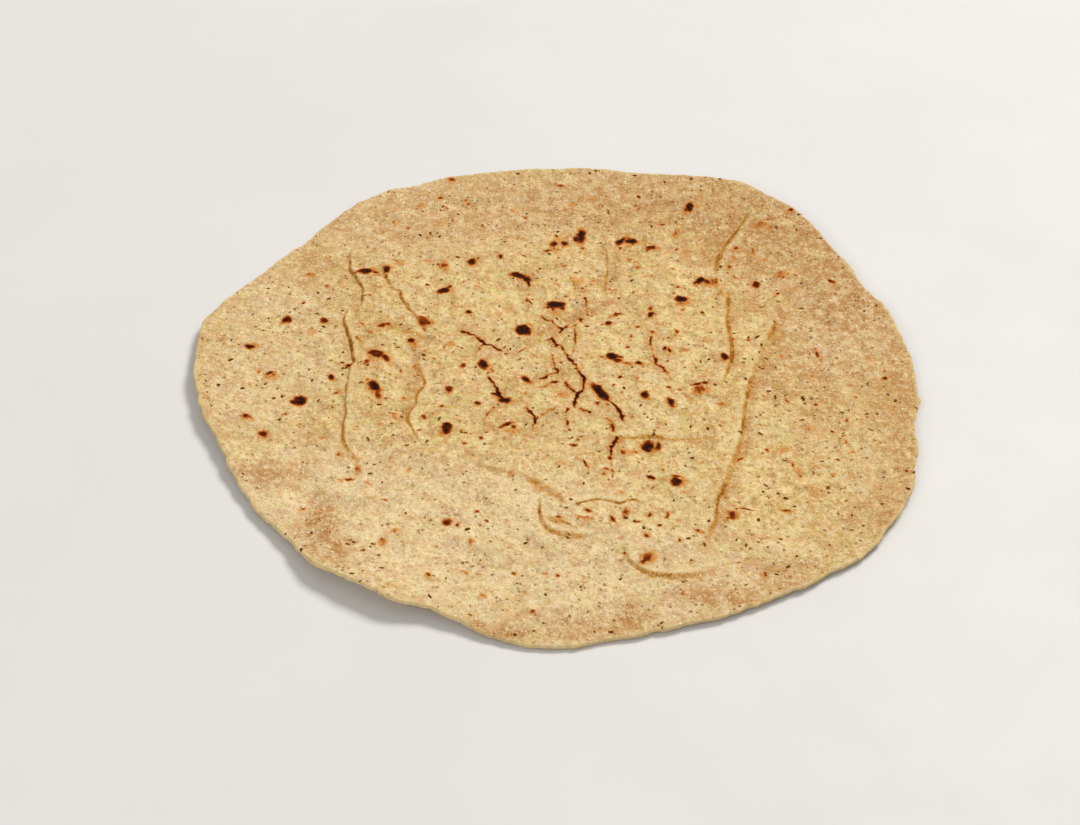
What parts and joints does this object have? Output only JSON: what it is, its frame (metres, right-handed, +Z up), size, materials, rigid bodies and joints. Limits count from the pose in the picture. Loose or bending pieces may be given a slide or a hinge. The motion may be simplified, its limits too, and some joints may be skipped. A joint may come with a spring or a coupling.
{
  "type": "chapati flatbread",
  "caption": "Thin round whole-wheat flatbread with an uneven edge, a steamed middle with seams and pockets, and scattered griddle marks.",
  "frame": {"origin": "on the table under the middle of the bread's bounding box, inside the flat foot it rests on", "axes": "+Z up, +Y away from the viewer towards the far edge, +X to the viewer's right; the raised, spotted side is up"},
  "size_m": [0.211, 0.216, 0.0061],
  "materials": {
    "bread": "matte"
  },
  "bodies": {
    "root": {"chapati": "bread"}
  },
  "joints": []
}
